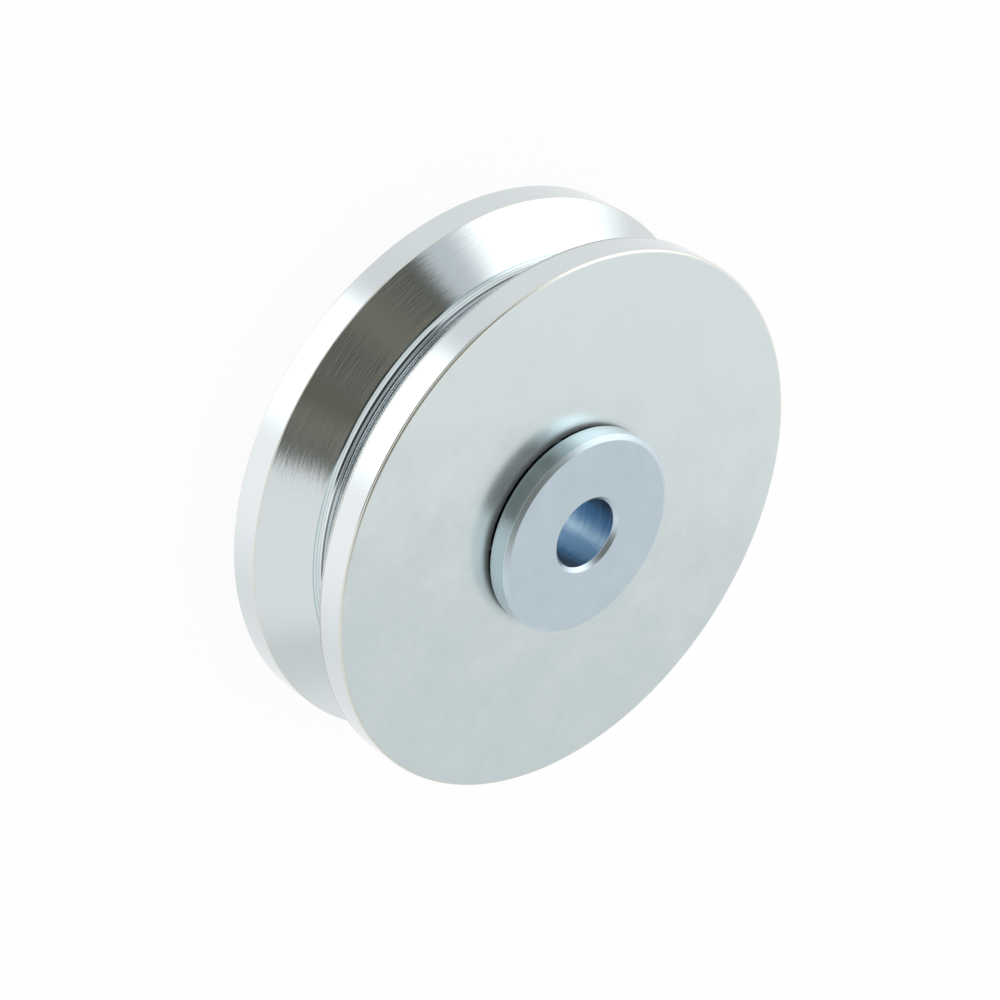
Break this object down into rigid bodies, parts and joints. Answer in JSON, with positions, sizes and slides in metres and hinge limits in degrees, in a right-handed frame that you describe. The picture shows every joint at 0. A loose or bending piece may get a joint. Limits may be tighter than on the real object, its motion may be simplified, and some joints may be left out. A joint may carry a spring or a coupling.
{
  "type": "v-groove gate wheel",
  "caption": "Turned steel gate wheel with a V groove round its rim, running on a sealed ball bearing between two flanged hub bushes bored for a bolt.",
  "frame": {"origin": "the wheel's centre: on its axis, midway between its two faces", "axes": "+Z along the wheel's axis, out of its front face; +X and +Y lie in the wheel's mid-plane. The wheel lies on its rear hub flange."},
  "size_m": [0.08, 0.08, 0.03],
  "materials": {
    "plated_wheel": "turned steel, bright blue-passivated zinc plating, half mirror",
    "plated_bush": "turned steel, zinc plating, satin",
    "bearing_steel": "ground bearing steel",
    "ball_steel": "polished bearing steel",
    "cage_nylon": "moulded glass-filled nylon",
    "seal_rubber": "matt black",
    "spring_steel": "phosphated spring steel"
  },
  "bodies": {
    "hub": {"front_hub_bush": "plated_bush", "rear_hub_bush": "plated_bush", "bearing_inner_ring": "bearing_steel"},
    "wheel": {"wheel_body": "plated_wheel", "bearing_outer_ring": "bearing_steel", "front_seal": "seal_rubber", "rear_seal": "seal_rubber", "retaining_ring": "spring_steel"},
    "cage": {"ball_cage": "cage_nylon"},
    "ball_1": {"ball_1": "ball_steel"},
    "ball_2": {"ball_2": "ball_steel"},
    "ball_3": {"ball_3": "ball_steel"},
    "ball_4": {"ball_4": "ball_steel"},
    "ball_5": {"ball_5": "ball_steel"},
    "ball_6": {"ball_6": "ball_steel"},
    "ball_7": {"ball_7": "ball_steel"},
    "ball_8": {"ball_8": "ball_steel"}
  },
  "joints": [
    {"name": "wheel_spin", "type": "hinge", "parent": "hub", "child": "wheel", "pos_m": [0, 0, 0], "axis": [0, 0, 1], "continuous": true},
    {"name": "cage_orbit", "type": "hinge", "parent": "hub", "child": "cage", "pos_m": [0, 0, 0], "axis": [0, 0, 1], "continuous": true},
    {"name": "ball_1_roll", "type": "hinge", "parent": "cage", "child": "ball_1", "pos_m": [0.0125, 0, 0], "axis": [0, 0, 1], "continuous": true},
    {"name": "ball_2_roll", "type": "hinge", "parent": "cage", "child": "ball_2", "pos_m": [0.00884, 0.00884, 0], "axis": [0, 0, 1], "continuous": true},
    {"name": "ball_3_roll", "type": "hinge", "parent": "cage", "child": "ball_3", "pos_m": [0, 0.0125, 0], "axis": [0, 0, 1], "continuous": true},
    {"name": "ball_4_roll", "type": "hinge", "parent": "cage", "child": "ball_4", "pos_m": [-0.00884, 0.00884, 0], "axis": [0, 0, 1], "continuous": true},
    {"name": "ball_5_roll", "type": "hinge", "parent": "cage", "child": "ball_5", "pos_m": [-0.0125, 0, 0], "axis": [0, 0, 1], "continuous": true},
    {"name": "ball_6_roll", "type": "hinge", "parent": "cage", "child": "ball_6", "pos_m": [-0.00884, -0.00884, 0], "axis": [0, 0, 1], "continuous": true},
    {"name": "ball_7_roll", "type": "hinge", "parent": "cage", "child": "ball_7", "pos_m": [0, -0.0125, 0], "axis": [0, 0, 1], "continuous": true},
    {"name": "ball_8_roll", "type": "hinge", "parent": "cage", "child": "ball_8", "pos_m": [0.00884, -0.00884, 0], "axis": [0, 0, 1], "continuous": true}
  ],
  "couplings": [
    {"joint": "cage_orbit", "follows": "wheel_spin", "ratio": 0.61906},
    {"joint": "ball_1_roll", "follows": "wheel_spin", "ratio": 1.9807},
    {"joint": "ball_2_roll", "follows": "wheel_spin", "ratio": 1.9807},
    {"joint": "ball_3_roll", "follows": "wheel_spin", "ratio": 1.9807},
    {"joint": "ball_4_roll", "follows": "wheel_spin", "ratio": 1.9807},
    {"joint": "ball_5_roll", "follows": "wheel_spin", "ratio": 1.9807},
    {"joint": "ball_6_roll", "follows": "wheel_spin", "ratio": 1.9807},
    {"joint": "ball_7_roll", "follows": "wheel_spin", "ratio": 1.9807},
    {"joint": "ball_8_roll", "follows": "wheel_spin", "ratio": 1.9807}
  ]
}
